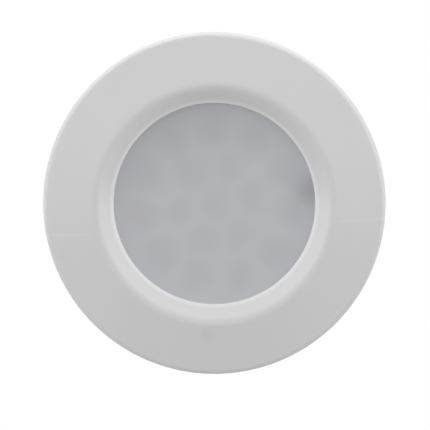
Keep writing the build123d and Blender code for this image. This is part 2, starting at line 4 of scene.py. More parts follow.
import bmesh
import bpy
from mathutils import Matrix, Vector


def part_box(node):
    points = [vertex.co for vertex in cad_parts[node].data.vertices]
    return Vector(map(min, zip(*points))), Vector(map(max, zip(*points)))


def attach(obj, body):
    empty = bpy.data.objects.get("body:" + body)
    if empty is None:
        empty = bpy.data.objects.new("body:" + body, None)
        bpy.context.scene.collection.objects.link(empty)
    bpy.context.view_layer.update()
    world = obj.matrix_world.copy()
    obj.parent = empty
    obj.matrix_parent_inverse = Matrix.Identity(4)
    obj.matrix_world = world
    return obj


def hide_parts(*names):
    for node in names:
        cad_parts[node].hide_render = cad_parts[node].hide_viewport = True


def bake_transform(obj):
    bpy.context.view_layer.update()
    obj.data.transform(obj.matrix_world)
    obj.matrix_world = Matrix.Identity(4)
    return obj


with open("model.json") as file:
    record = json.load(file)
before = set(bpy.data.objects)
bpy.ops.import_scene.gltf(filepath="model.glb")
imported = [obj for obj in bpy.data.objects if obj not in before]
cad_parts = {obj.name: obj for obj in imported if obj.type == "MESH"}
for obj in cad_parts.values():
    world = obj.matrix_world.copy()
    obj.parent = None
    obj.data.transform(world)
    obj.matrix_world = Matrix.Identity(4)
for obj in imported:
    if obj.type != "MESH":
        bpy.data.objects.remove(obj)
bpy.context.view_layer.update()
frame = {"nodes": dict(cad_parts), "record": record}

# A round recessed light with a motion sensor behind its frosted window. Its face looks along
# -Y, +Z is up and +X is to the right of someone facing it. The scene is in metres, in the packed
# model's own frame, and a size in mm is multiplied by MM before it is used.
MM = 0.001
nodes = frame["nodes"]


# The soft spots of painted shade where the LEDs behind the diffuser show through, as they look from the
# front:
# each ring's radius, the count on it and the angle in degrees of its first spot, from +X towards +Z,
# then how wide and how steep-sided a spot is, and the tint in its middle
LED_RINGS = ((0.0, 1, 0.0), (7.75 * MM, 6, 8.8), (15.15 * MM, 11, -6.5))
LED_SPOT_WIDTH = 5.9 * MM
LED_SPOT_STEEPNESS = 1.5
LED_SHADE_TINT = (0.948, 0.941, 0.920)
# Noise bends their outlines, by at most this much along X and along Z, in cells of this size
SPOT_WANDER = 1.9 * MM
SPOT_WANDER_CELL = 6.5 * MM
# The painted darker spot where the sensor's antenna shows through, and how far all the painted spots stand
# off the axis
SENSOR_RADIUS = 19.07 * MM
SENSOR_ANGLE = 8.4
SENSOR_SPOT_WIDTH = 5.2 * MM
SENSOR_SHADE = 0.22
SPOTS_X = 0.2 * MM
SPOTS_Z = -0.1 * MM
# A painted shadow of the lip darkens the window over this height up to its top, most of all a little left
# of the middle
DARK_TOP = 20.0 * MM
DARK_TOP_SHADE = 0.13
DARK_TOP_STEEPNESS = 1.75
DARK_TOP_LEAN = 16.0
# A painted reflection on the bezel, the light tent's edge mirrored as a faint lighter line on the flange:
# its height at the middle, its slope, its width and the distance from the axis where it starts, and the
# place of the gate where the mould's plastic came in
REFLECTION_LINE_Z = -4.8 * MM
REFLECTION_LINE_SLOPE = 0.05
REFLECTION_LINE_WIDTH = 0.45 * MM
REFLECTION_LINE_START = 25.0 * MM
REFLECTION_LINE_TINT = 0.035
GATE_X = -1.6 * MM
GATE_Z = -26.7 * MM
GATE_WIDTH = 2.0 * MM
GATE_TINT = -0.045
# A painted highlight on the lip round the window: where it starts to fade and where it is gone
LIP_START = 20.9 * MM
LIP_END = 21.5 * MM
LIP_HIGHLIGHT = 0.14
# Refractive indices
POLYCARBONATE_IOR = 1.45
SILICONE_IOR = 1.41


# ------------------------------------------------------------------ material helpers
def new_material(name):
    """A node material, its tree and its Principled shader."""
    material = bpy.data.materials.new(name)
    material.use_nodes = True
    return material, material.node_tree, material.node_tree.nodes["Principled BSDF"]


def add_node(tree, kind, **values):
    """A node with some of its properties and sockets set."""
    node = tree.nodes.new(kind)
    for key, value in values.items():
        if hasattr(node, key):
            setattr(node, key, value)
        else:
            node.inputs[key.replace("_", " ")].default_value = value
    return node


def maths(tree, operation, *values):
    """A Math node over numbers and sockets."""
    node = add_node(tree, "ShaderNodeMath", operation=operation)
    for socket, value in zip(node.inputs, values):
        if isinstance(value, (int, float)):
            socket.default_value = value
        else:
            tree.links.new(value, socket)
    return node.outputs["Value"]


def object_axes(tree):
    """The point's X, Y and Z on the object, in metres."""
    place = add_node(tree, "ShaderNodeTexCoord")
    axes = add_node(tree, "ShaderNodeSeparateXYZ")
    tree.links.new(place.outputs["Object"], axes.inputs["Vector"])
    return axes.outputs


def object_noise(tree, cell, detail=3.0, stretch=(1, 1, 1)):
    """Noise fixed to the piece, with cells of this size in metres, stretched along the axes."""
    place = add_node(tree, "ShaderNodeTexCoord")
    mapping = add_node(tree, "ShaderNodeMapping")
    mapping.inputs["Scale"].default_value = stretch
    noise = add_node(tree, "ShaderNodeTexNoise", Scale=1 / cell, Detail=detail)
    tree.links.new(place.outputs["Object"], mapping.inputs["Vector"])
    tree.links.new(mapping.outputs["Vector"], noise.inputs["Vector"])
    return noise.outputs["Fac"]


def ramp(tree, factor, low, high, start=0.3, end=0.7):
    """A colour ramp from low to high, driven by the factor."""
    node = add_node(tree, "ShaderNodeValToRGB")
    node.color_ramp.elements[0].position = start
    node.color_ramp.elements[0].color = (*low, 1)
    node.color_ramp.elements[1].position = end
    node.color_ramp.elements[1].color = (*high, 1)
    tree.links.new(factor, node.inputs["Fac"])
    return node.outputs["Color"]


def remap(tree, factor, low, high, start=0.0, end=1.0):
    """The factor's stretch from start to end, run from low to high and held there."""
    node = add_node(tree, "ShaderNodeMapRange")
    for socket, value in zip(("From Min", "From Max", "To Min", "To Max"), (start, end, low, high)):
        node.inputs[socket].default_value = value
    tree.links.new(factor, node.inputs["Value"])
    return node.outputs["Result"]


def scaled_colour(tree, colour, factor):
    """The colour made darker or lighter by the factor."""
    node = add_node(tree, "ShaderNodeVectorMath", operation="SCALE")
    tree.links.new(colour, node.inputs[0])
    tree.links.new(factor, node.inputs["Scale"])
    return node.outputs["Vector"]


def bump(tree, shader, factor, distance):
    """A bump of this height in metres from the factor."""
    node = add_node(tree, "ShaderNodeBump", Distance=distance)
    tree.links.new(factor, node.inputs["Height"])
    tree.links.new(node.outputs["Normal"], shader.inputs["Normal"])


def shades(colour, spread):
    """The colour a little darker and a little lighter."""
    return [part * (1 - spread) for part in colour], [min(1, part * (1 + spread)) for part in colour]


def moulded(name, colour, spread=0.012, rough=(0.38, 0.46), grain=0.3 * MM, height=0.002 * MM):
    """Moulded plastic: faint drifts of colour, an uneven gloss and a fine spark-eroded grain."""
    material, tree, shader = new_material(name)
    drift = object_noise(tree, 14 * MM, detail=4.0)
    tree.links.new(ramp(tree, drift, *shades(colour, spread)), shader.inputs["Base Color"])
    gloss = object_noise(tree, 2.5 * MM, detail=2.0)
    tree.links.new(remap(tree, gloss, *rough), shader.inputs["Roughness"])
    bump(tree, shader, object_noise(tree, grain, detail=2.0), height)
    return material


def metal(name, colour, rough=(0.22, 0.36), streak=(1, 1, 14), spread=0.05):
    """Bright metal with rolling or plating streaks along one axis and faint stains."""
    material, tree, shader = new_material(name)
    shader.inputs["Metallic"].default_value = 1.0
    stains = object_noise(tree, 4 * MM, detail=4.0)
    tree.links.new(ramp(tree, stains, *shades(colour, spread)), shader.inputs["Base Color"])
    streaks = object_noise(tree, 0.9 * MM, detail=4.0, stretch=streak)
    tree.links.new(remap(tree, streaks, *rough), shader.inputs["Roughness"])
    bump(tree, shader, streaks, 0.004 * MM)
    return material


def squared_radius(tree, across, up):
    """The squared distance from the object's axis."""
    return maths(tree, "ADD", maths(tree, "MULTIPLY", across, across), maths(tree, "MULTIPLY", up, up))


def nearest_on_ring(tree, across, up, radius, count, start):
    """The squared distance to the nearest of the places spread evenly on a ring about Y."""
    step = 2 * pi / count
    turn = maths(tree, "SUBTRACT", maths(tree, "ARCTAN2", up, across), radians(start) - step / 2)
    folded = maths(tree, "SUBTRACT", maths(tree, "FLOORED_MODULO", turn, step), step / 2)
    squared = squared_radius(tree, across, up)
    ray = maths(tree, "MULTIPLY", maths(tree, "SQRT", squared), 2 * radius)
    both = maths(tree, "ADD", squared, radius**2)
    return maths(tree, "SUBTRACT", both, maths(tree, "MULTIPLY", ray, maths(tree, "COSINE", folded)))


def spot(tree, squared_distance, width, steepness=1.0):
    """A soft round spot: 1 in its middle and a half at half its width, with sides this steep."""
    relative = maths(tree, "MULTIPLY", maths(tree, "MAXIMUM", squared_distance, 0.0), 4 / width**2)
    halvings = maths(tree, "POWER", relative, steepness)
    return maths(tree, "EXPONENT", maths(tree, "MULTIPLY", halvings, -log(2)))


def frosted(name, colour, transmission, roughness):
    """Frosted polycarbonate, which scatters the light and lets a little of it through.

    The LEDs and the sensor that stand close behind it are painted into its colour as soft, faint spots of
    painted shade, and a painted shadow of the lip makes the window darker towards its top.
    """
    material, tree, shader = new_material(name)
    shader.inputs["IOR"].default_value = POLYCARBONATE_IOR
    shader.inputs["Transmission Weight"].default_value = transmission
    shader.inputs["Roughness"].default_value = roughness
    axes = object_axes(tree)
    across = maths(tree, "SUBTRACT", axes["X"], SPOTS_X)
    up = maths(tree, "SUBTRACT", axes["Z"], SPOTS_Z)
    # painted shadow of the lip: the window darker towards its top
    lean = radians(DARK_TOP_LEAN)
    leaning = maths(tree, "MULTIPLY", axes["X"], sin(lean))
    height = maths(tree, "SUBTRACT", maths(tree, "MULTIPLY", axes["Z"], cos(lean)), leaning)
    high = remap(tree, height, 0.0, 1.0, 0.0, DARK_TOP)
    painted_shade = maths(tree, "MULTIPLY", maths(tree, "POWER", high, DARK_TOP_STEEPNESS), DARK_TOP_SHADE)
    wander_x = object_noise(tree, SPOT_WANDER_CELL, detail=1.0)
    led_x = maths(tree, "ADD", across, remap(tree, wander_x, -SPOT_WANDER, SPOT_WANDER))
    wander_z = object_noise(tree, SPOT_WANDER_CELL, detail=1.0, stretch=(-1, 1, 1))
    led_z = maths(tree, "ADD", up, remap(tree, wander_z, -SPOT_WANDER, SPOT_WANDER))
    # painted shade where the LEDs behind the window show through, with their tint
    painted_led_shade = 0.0
    for radius, count, start in LED_RINGS:
        from_led = nearest_on_ring(tree, led_x, led_z, radius, count, start)
        painted_led_shade = maths(tree, "ADD", spot(tree, from_led, LED_SPOT_WIDTH, LED_SPOT_STEEPNESS), painted_led_shade)
    # painted shade where the sensor's antenna shows through
    from_sensor = nearest_on_ring(tree, across, up, SENSOR_RADIUS, 1, SENSOR_ANGLE)
    painted_sensor_shade = spot(tree, from_sensor, SENSOR_SPOT_WIDTH)
    painted_shade = maths(tree, "ADD", maths(tree, "MULTIPLY", painted_sensor_shade, SENSOR_SHADE), painted_shade)
    drift = object_noise(tree, 9 * MM, detail=3.0)
    plain = ramp(tree, drift, *shades(colour, 0.006))
    light = maths(tree, "SUBTRACT", 1.0, painted_shade)
    # the window's colour with its painted shade: the lip's shadow, the sensor's spot and the LEDs' spots
    shaded = add_node(tree, "ShaderNodeVectorMath", operation="MULTIPLY")
    tree.links.new(scaled_colour(tree, plain, light), shaded.inputs[0])
    tree.links.new(ramp(tree, painted_led_shade, (1, 1, 1), LED_SHADE_TINT, 0.0, 1.0), shaded.inputs[1])
    tree.links.new(shaded.outputs["Vector"], shader.inputs["Base Color"])
    bump(tree, shader, object_noise(tree, 0.2 * MM, detail=2.0), 0.003 * MM)
    return material


def bezel_plastic(name, colour):
    """The bezel's satin white, with a mark that its mould left on it, a painted reflection and a painted
    highlight.

    A painted reflection of the light tent's edge, a faint lighter line, crosses the flange on each side,
    where the plastic came in there is a small darker spot below the window, and a painted highlight makes
    the lip lighter.
    """
    material, tree, shader = new_material(name)
    axes = object_axes(tree)
    # painted reflection: the light tent's edge mirrored as a faint lighter line across the flange
    drop = maths(tree, "SUBTRACT", axes["Z"], maths(tree, "MULTIPLY", axes["X"], REFLECTION_LINE_SLOPE))
    from_reflection_line = maths(tree, "SUBTRACT", drop, REFLECTION_LINE_Z)
    reflection_line = spot(tree, maths(tree, "MULTIPLY", from_reflection_line, from_reflection_line), REFLECTION_LINE_WIDTH)
    past_crest = remap(tree, maths(tree, "ABSOLUTE", axes["X"]), 0.0, 1.0, REFLECTION_LINE_START, REFLECTION_LINE_START + MM)
    reflection_line = maths(tree, "MULTIPLY", maths(tree, "MULTIPLY", reflection_line, past_crest), REFLECTION_LINE_TINT)
    gate_x = maths(tree, "SUBTRACT", axes["X"], GATE_X)
    gate_z = maths(tree, "SUBTRACT", axes["Z"], GATE_Z)
    gate = maths(tree, "MULTIPLY", spot(tree, squared_radius(tree, gate_x, gate_z), GATE_WIDTH), GATE_TINT)
    # painted highlight: the lip round the window lighter
    radius = maths(tree, "SQRT", squared_radius(tree, axes["X"], axes["Z"]))
    lip_highlight = remap(tree, radius, LIP_HIGHLIGHT, 0.0, LIP_START, LIP_END)
    # the colour's scale holds the painted reflection, the gate mark and the painted highlight
    tint = maths(tree, "ADD", maths(tree, "ADD", reflection_line, gate), maths(tree, "ADD", lip_highlight, 1.0))
    plain = ramp(tree, object_noise(tree, 14 * MM, detail=4.0), *shades(colour, 0.008))
    tree.links.new(scaled_colour(tree, plain, tint), shader.inputs["Base Color"])
    gloss = object_noise(tree, 2.5 * MM, detail=2.0)
    tree.links.new(remap(tree, gloss, 0.18, 0.24), shader.inputs["Roughness"])
    bump(tree, shader, object_noise(tree, 0.3 * MM, detail=2.0), 0.002 * MM)
    return material


def rubber(name, colour, rough=(0.55, 0.72)):
    """Soft rubber: matt, a little dusty, with a fine moulded grain."""
    material = moulded(name, colour, spread=0.10, rough=rough, grain=0.15 * MM, height=0.012 * MM)
    shader = material.node_tree.nodes["Principled BSDF"]
    shader.inputs["Sheen Weight"].default_value = 0.15
    shader.inputs["Sheen Roughness"].default_value = 0.5
    shader.inputs["Specular IOR Level"].default_value = 0.35
    return material


def clear_rubber(name, colour):
    """Cloudy see-through silicone."""
    material = moulded(name, colour, spread=0.03, rough=(0.25, 0.38), grain=0.4 * MM, height=0.004 * MM)
    shader = material.node_tree.nodes["Principled BSDF"]
    shader.inputs["IOR"].default_value = SILICONE_IOR
    shader.inputs["Transmission Weight"].default_value = 0.55
    return material


def circuit_board(name, colour, track_tint=1.35):
    """Solder mask over copper: the tracks stand a little proud and look lighter."""
    material, tree, shader = new_material(name)
    place = add_node(tree, "ShaderNodeTexCoord")
    track_pitch = 2.6 * MM
    cells = add_node(
        tree, "ShaderNodeTexVoronoi", feature="DISTANCE_TO_EDGE", Scale=1 / track_pitch, Randomness=0.7
    )
    tree.links.new(place.outputs["Object"], cells.inputs["Vector"])
    tracks = remap(tree, cells.outputs["Distance"], 1.0, 0.0, 0.05, 0.09)
    plain = ramp(tree, object_noise(tree, 6 * MM, detail=3.0), *shades(colour, 0.05))
    tint = remap(tree, tracks, 1.0, track_tint)
    tree.links.new(scaled_colour(tree, plain, tint), shader.inputs["Base Color"])
    gloss = object_noise(tree, 1.5 * MM, detail=2.0)
    tree.links.new(remap(tree, gloss, 0.28, 0.40), shader.inputs["Roughness"])
    bump(tree, shader, tracks, 0.03 * MM)
    return material


def coil_spring_steel(name, colour):
    """Bright spring steel with drawing marks and the faint straw tint of its heat treatment."""
    material = metal(name, colour, rough=(0.20, 0.38), streak=(1, 1, 6), spread=0.04)
    tree = material.node_tree
    shader = tree.nodes["Principled BSDF"]
    straw = [part * share for part, share in zip(colour, (1.02, 0.99, 0.94))]
    patches = object_noise(tree, 7 * MM, detail=3.0)
    tree.links.new(ramp(tree, patches, colour, straw, 0.45, 0.75), shader.inputs["Base Color"])
    return material


slot_colour = {entry["slot"]: entry["base_color"][:3] for entry in frame["record"]["materials"]}
# Colours that differ from the record's, because they were matched under this light
BEZEL_COLOUR = (0.81, 0.81, 0.81)
DIFFUSER_COLOUR = (0.765, 0.776, 0.811)
LED_COLOUR = (0.62, 0.62, 0.60)
PHOSPHOR_COLOUR = (0.62, 0.52, 0.22)
# Each material slot's finish: the function that makes it and the values that it is given. The
# colour is the record's where none is given here.
FINISHES = {
    "bezel_white": (bezel_plastic, dict(colour=BEZEL_COLOUR)),
    "diffuser_frosted": (frosted, dict(colour=DIFFUSER_COLOUR, transmission=0.15, roughness=0.35)),
    "housing_white": (moulded, dict(spread=0.02, rough=(0.48, 0.60), grain=0.35 * MM, height=0.012 * MM)),
    "silicone_clear": (clear_rubber, {}),
    "reflector_white": (moulded, dict(spread=0.015, rough=(0.22, 0.32))),
    "led_board_white": (circuit_board, dict(track_tint=0.93)),
    "led_body": (moulded, dict(colour=LED_COLOUR, spread=0.03, rough=(0.40, 0.52), grain=0.12 * MM)),
    "phosphor": (
        moulded,
        dict(colour=PHOSPHOR_COLOUR, spread=0.08, rough=(0.42, 0.60), grain=0.08 * MM, height=0.01 * MM),
    ),
    "pad_grey": (rubber, dict(rough=(0.70, 0.85))),
    "aluminium_plain": (metal, dict(rough=(0.26, 0.42), streak=(16, 1, 1))),
    "board_green": (circuit_board, {}),
    "antenna_dark": (moulded, dict(spread=0.15, rough=(0.50, 0.68), grain=0.1 * MM, height=0.01 * MM)),
    "component_black": (moulded, dict(spread=0.12, rough=(0.38, 0.55), grain=0.1 * MM, height=0.006 * MM)),
    "tinned_brass": (metal, dict(rough=(0.24, 0.40), streak=(1, 10, 1))),
    "terminal_green": (moulded, dict(spread=0.04, rough=(0.36, 0.48))),
    "trimmer_blue": (moulded, dict(spread=0.04, rough=(0.34, 0.46))),
    "dial_grey": (moulded, dict(spread=0.05, rough=(0.42, 0.55), grain=0.2 * MM, height=0.005 * MM)),
    "grommet_black": (rubber, {}),
    "sleeve_grey": (rubber, {}),
    "spring_steel": (coil_spring_steel, {}),
}
looks = {}
for slot, colour in slot_colour.items():
    make_finish, values = FINISHES[slot]
    looks[slot] = make_finish(slot, **{"colour": colour, **values})
for part in frame["record"]["subparts"]:
    nodes[part["node"]].material_slots[0].material = looks[part["material_slot"]]


# How wide the hard edges of these CAD nodes are rounded off, in mm
SOFT_EDGES = {
    "housing": 0.30,
    "rear_cover": 0.22,
    "left_clip_arm": 0.16,
    "right_clip_arm": 0.16,
    "time_dial": 0.14,
    "range_dial": 0.14,
    "cover_screws": 0.08,
}


# ------------------------------------------------------------------ piece helpers
def new_object(name, builder, slot, body, replaced=(), angle=30):
    """A piece from the mesh builder, smooth up to this angle, which rides on the body if given."""
    mesh = bpy.data.meshes.new(name)
    for face in builder.faces:
        face.smooth = True
    builder.to_mesh(mesh)
    builder.free()
    mesh.set_sharp_from_angle(angle=radians(angle))
    mesh.materials.append(looks[slot])
    piece = bpy.data.objects.new(name, mesh)
    bpy.context.scene.collection.objects.link(piece)
    if body:
        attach(piece, body)
    if replaced:
        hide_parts(*replaced)
    return piece


def rounded_outline(corners, radii, arc_steps=8):
    """A closed outline whose corners are rounded by arcs of these radii."""
    outline = []
    for index, (corner, radius) in enumerate(zip(corners, radii)):
        here = Vector(corner)
        to_last = Vector(corners[index - 1]) - here
        to_next = Vector(corners[(index + 1) % len(corners)]) - here
        if radius == 0:
            outline.append(here)
            continue
        half = to_last.angle(to_next) / 2
        centre = here + (to_last.normalized() + to_next.normalized()).normalized() * (radius / sin(half))
        start = here + to_last.normalized() * (radius / tan(half)) - centre
        end = here + to_next.normalized() * (radius / tan(half)) - centre
        for step in range(arc_steps + 1):
            outline.append(centre + start.slerp(end, step / arc_steps) * radius)
    return outline


def lathe(builder, outline, steps, centre=(0, 0)):
    """Turn a closed outline of (radius, y) points in mm about an axis along Y."""
    rings = []
    for step in range(steps):
        angle = 2 * pi * step / steps
        rings.append([
            builder.verts.new((
                (centre[0] + radius * cos(angle)) * MM,
                y * MM,
                (centre[1] + radius * sin(angle)) * MM,
            ))
            for radius, y in outline
        ])
    count = len(outline)
    for step in range(steps):
        ring, after = rings[step], rings[(step + 1) % steps]
        for index in range(count):
            following = (index + 1) % count
            builder.faces.new((ring[index], ring[following], after[following], after[index]))
    bmesh.ops.remove_doubles(builder, verts=builder.verts, dist=1e-7)
    bmesh.ops.recalc_face_normals(builder, faces=builder.faces)


def body_of(node):
    """The name of the body that a CAD node rides on."""
    bodies = frame["record"]["behaviour"]["bodies"]
    return next(body for body, members in bodies.items() if node in members)


def soften_edges(node, width, hard_angle=32, flat_angle=0.5):
    """A copy of a CAD node's mesh whose hard edges are rounded off, as moulding leaves them."""
    builder = bmesh.new()
    builder.from_mesh(nodes[node].data)
    bmesh.ops.remove_doubles(builder, verts=builder.verts, dist=1e-6)
    bmesh.ops.dissolve_limit(
        builder, angle_limit=radians(flat_angle), verts=builder.verts, edges=builder.edges
    )
    hard = [
        edge for edge in builder.edges
        if len(edge.link_faces) == 2 and edge.calc_face_angle() > radians(hard_angle)
    ]
    bmesh.ops.bevel(
        builder, geom=hard, offset=width * MM, offset_type="WIDTH", segments=2,
        profile=0.5, affect="EDGES", clamp_overlap=True, harden_normals=False,
    )
    slot = next(part["material_slot"] for part in frame["record"]["subparts"] if part["node"] == node)
    piece = new_object(f"{node}_finished", builder, slot, body_of(node), (node,), 40)
    piece.modifiers.new("even_shading", "WEIGHTED_NORMAL").keep_sharp = True
    return piece


# ------------------------------------------------------------------ diffuser
# In mm: the rounding of the window's edges, and the pinhole that the lathe leaves on its axis
WINDOW_EDGE_ROUNDING = 0.25
WINDOW_PINHOLE_RADIUS = 0.02
WINDOW_STEPS = 192


def make_diffuser():
    """The frosted window, a disc with softly rounded edges."""
    low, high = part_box("diffuser")
    front, back, radius = low[1] / MM, high[1] / MM, high[0] / MM
    builder = bmesh.new()
    pinhole = WINDOW_PINHOLE_RADIUS
    corners = [(pinhole, front), (radius, front), (radius, back), (pinhole, back)]
    radii = (0, WINDOW_EDGE_ROUNDING, WINDOW_EDGE_ROUNDING, 0)
    lathe(builder, rounded_outline(corners, radii), WINDOW_STEPS)
    new_object("diffuser_window", builder, "diffuser_frosted", "root", ("diffuser",))


# ------------------------------------------------------------------ spring clips
# In mm and degrees, as in the CAD model: the pin, the arm's angle at rest, the coil's radius, the
# legs' radius, height and far ends, and the outside of the sleeve on the arm's tip
PIVOT_X = 25.2
PIVOT_Y = 15.5
ARM_ANGLE = -54.0
COIL_RADIUS = 1.55
WIRE_RADIUS = 0.27
LEG_Z = 2.4
FIXED_LEG_LENGTH = 7.0
ARM_LEG_END = 7.5
SLEEVE_START = 9.4
SLEEVE_END = 13.6
SLEEVE_HALF_WIDTH = 3.5
SLEEVE_HALF_THICKNESS = 1.1
# Finer than the CAD model: the coil's turns, where the arm's leg comes off it, how it bends and
# how far behind the arm's middle it lies, and the sleeve's grooves and rounding
COIL_TURNS = 7
COIL_STEPS = 210
LEG_OFF_ANGLE = -30.0
LEG_BEND_LENGTH = 0.6
ARM_LEG_Y = 0.85
SLEEVE_GROOVES = 4
SLEEVE_GROOVE_DEPTH = 0.18
SLEEVE_END_ROUNDING = 0.45
SLEEVE_STATIONS = 60
SLEEVE_CORNER_POINTS = 7


def on_clip(side, along, rear, across):
    """A point given along the arm, towards its rear side and along its pin, in metres."""
    turn = radians(ARM_ANGLE)
    x = PIVOT_X + along * cos(turn) - rear * sin(turn)
    y = PIVOT_Y + along * sin(turn) + rear * cos(turn)
    return Vector((side * x, y, across)) * MM


def tube(builder, path, radius, sides=10):
    """A round wire along the path, closed at both ends, whose rings don't twist."""
    ahead = [
        (path[min(i + 1, len(path) - 1)] - path[max(i - 1, 0)]).normalized() for i in range(len(path))
    ]
    normal = ahead[0].orthogonal().normalized()
    rings = []
    for index, (point, direction) in enumerate(zip(path, ahead)):
        if index:
            normal = ahead[index - 1].rotation_difference(direction) @ normal
        binormal = direction.cross(normal)
        rings.append([
            builder.verts.new(
                point + (normal * cos(2 * pi * k / sides) + binormal * sin(2 * pi * k / sides)) * radius
            )
            for k in range(sides)
        ])
    skin(builder, rings)


def skin(builder, rings):
    """Join closed rings of the same count of points into a closed skin."""
    count = len(rings[0])
    for ring, after in zip(rings, rings[1:]):
        for k in range(count):
            builder.faces.new((ring[k], ring[(k + 1) % count], after[(k + 1) % count], after[k]))
    builder.faces.new(list(reversed(rings[0])))
    builder.faces.new(rings[-1])
    bmesh.ops.recalc_face_normals(builder, faces=builder.faces)


def spring_path(side):
    """From the leg on the can, round the coil, through the arm's slot and along its rear."""
    can_x = PIVOT_X - COIL_RADIUS
    path = [
        Vector((side * can_x, PIVOT_Y + FIXED_LEG_LENGTH * share, -LEG_Z)) * MM
        for share in (1, 0.75, 0.5, 0.25)
    ]
    sweep = ARM_ANGLE + LEG_OFF_ANGLE + 360 - 180 + 360 * COIL_TURNS
    for step in range(COIL_STEPS + 1):
        share = step / COIL_STEPS
        angle = radians(180 + sweep * share)
        x = PIVOT_X + COIL_RADIUS * cos(angle)
        y = PIVOT_Y + COIL_RADIUS * sin(angle)
        path.append(Vector((side * x, y, LEG_Z * (2 * share - 1))) * MM)
    # off the coil at a tangent, then a soft bend onto the arm's rear face
    leave = radians(LEG_OFF_ANGLE)
    start = Vector((COIL_RADIUS * cos(leave), COIL_RADIUS * sin(leave)))
    tangent = Vector((-sin(leave), cos(leave)))
    corner = start + tangent * ((ARM_LEG_Y - start.y) / tangent.y)
    bend_start = corner - tangent * LEG_BEND_LENGTH
    bend_end = corner + Vector((LEG_BEND_LENGTH, 0))
    for share in (0, 0.25, 0.5, 0.75, 1):
        point = bend_start.lerp(corner, share).lerp(corner.lerp(bend_end, share), share)
        path.append(on_clip(side, point.x, point.y, LEG_Z))
    path.append(on_clip(side, (corner.x + ARM_LEG_END) / 2, ARM_LEG_Y, LEG_Z))
    path.append(on_clip(side, ARM_LEG_END, ARM_LEG_Y, LEG_Z))
    return path


def make_spring(side, name):
    """A torsion spring of round wire, one leg on the can and the other on the arm."""
    builder = bmesh.new()
    tube(builder, spring_path(side), WIRE_RADIUS * MM)
    piece = new_object(f"{name}_torsion_spring", builder, "spring_steel", None, (f"{name}_clip_spring",))
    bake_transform(piece)


def make_sleeve(side, name):
    """The ribbed rubber sleeve on the arm's tip, rounded all over."""
    rounding = SLEEVE_END_ROUNDING
    rings = []
    builder = bmesh.new()
    for station in range(SLEEVE_STATIONS + 1):
        share = station / SLEEVE_STATIONS
        along = SLEEVE_START + (SLEEVE_END - SLEEVE_START) * share
        to_end = min(along - SLEEVE_START, SLEEVE_END - along)
        inset = rounding - sqrt(max(0.0, rounding**2 - max(0.0, rounding - to_end) ** 2))
        groove = max(0.0, -cos(2 * pi * SLEEVE_GROOVES * share)) ** 2 * SLEEVE_GROOVE_DEPTH
        half_thickness = SLEEVE_HALF_THICKNESS - inset - groove
        half_width = SLEEVE_HALF_WIDTH - inset - groove
        corner_radius = 0.75 * half_thickness
        ring = []
        for quarter, (sign_z, sign_y) in enumerate(((1, 1), (-1, 1), (-1, -1), (1, -1))):
            for step in range(SLEEVE_CORNER_POINTS):
                angle = pi / 2 * (quarter + step / (SLEEVE_CORNER_POINTS - 1))
                across = sign_z * (half_width - corner_radius) + corner_radius * cos(angle)
                rear = sign_y * (half_thickness - corner_radius) + corner_radius * sin(angle)
                ring.append(builder.verts.new(on_clip(side, along, rear, across)))
        rings.append(ring)
    skin(builder, rings)
    replaced = (f"{name}_clip_sleeve",)
    new_object(f"{name}_ribbed_sleeve", builder, "sleeve_grey", f"{name}_clip", replaced, 50)


# ------------------------------------------------------------------ rear face
# In mm and degrees: the cover's two faces, the dials' places and travel, the strokes round them,
# and the grommet, whose flanges lie on the cover's faces
COVER_FRONT_Y = 25.0
COVER_BACK_Y = 27.0
DIAL_X = 10.6
DIAL_Z = 6.5
MARK_INNER_RADIUS = 4.9
MARK_LENGTH = 0.9
MARK_WIDTH = 0.34
MARK_HEIGHT = 0.08
MARK_ROOT = -0.02
MARK_CHAMFER_HEIGHT = 0.03
MARK_CHAMFER = 0.05
MARK_COUNT = 7
LONG_MARK_SHARE = 1.5
DIAL_TRAVEL = 135.0
GROMMET_Z = -9.5
GROMMET_BORE_RADIUS = 2.6
GROMMET_NECK_RADIUS = 4.18
GROMMET_FLANGE_RADIUS = 5.2
GROMMET_INNER_FACE_RADIUS = 4.8
GROMMET_OUTER_FACE_RADIUS = 4.7
GROMMET_INNER_Y = 23.9
GROMMET_OUTER_Y = 28.2
GROMMET_STEPS = 72


def make_dial_marks():
    """Raised marks round each dial's recess, from one end of its travel to the other."""
    builder = bmesh.new()
    for dial_x in (-DIAL_X, DIAL_X):
        for mark in range(MARK_COUNT):
            share = mark / (MARK_COUNT - 1)
            angle = radians(90 + DIAL_TRAVEL * (2 * share - 1))
            is_long = mark in (0, MARK_COUNT // 2, MARK_COUNT - 1)
            length = MARK_LENGTH * (LONG_MARK_SHARE if is_long else 1.0)
            out = Vector((cos(angle), 0, sin(angle)))
            sideways = Vector((-sin(angle), 0, cos(angle))) * (MARK_WIDTH / 2)
            centre = Vector((dial_x, COVER_BACK_Y, DIAL_Z))
            layers = []
            for height, inset in (
                (MARK_ROOT, 0.0),
                (MARK_HEIGHT - MARK_CHAMFER_HEIGHT, 0.0),
                (MARK_HEIGHT, MARK_CHAMFER),
            ):
                lift = Vector((0, height, 0))
                near = out * (MARK_INNER_RADIUS + inset)
                far = out * (MARK_INNER_RADIUS + length - inset)
                half = sideways * (1 - 2 * inset / MARK_WIDTH)
                corners = (near - half, far - half, far + half, near + half)
                layers.append([builder.verts.new((centre + lift + corner) * MM) for corner in corners])
            skin(builder, layers)
    new_object("dial_scale_marks", builder, "dial_grey", "root")


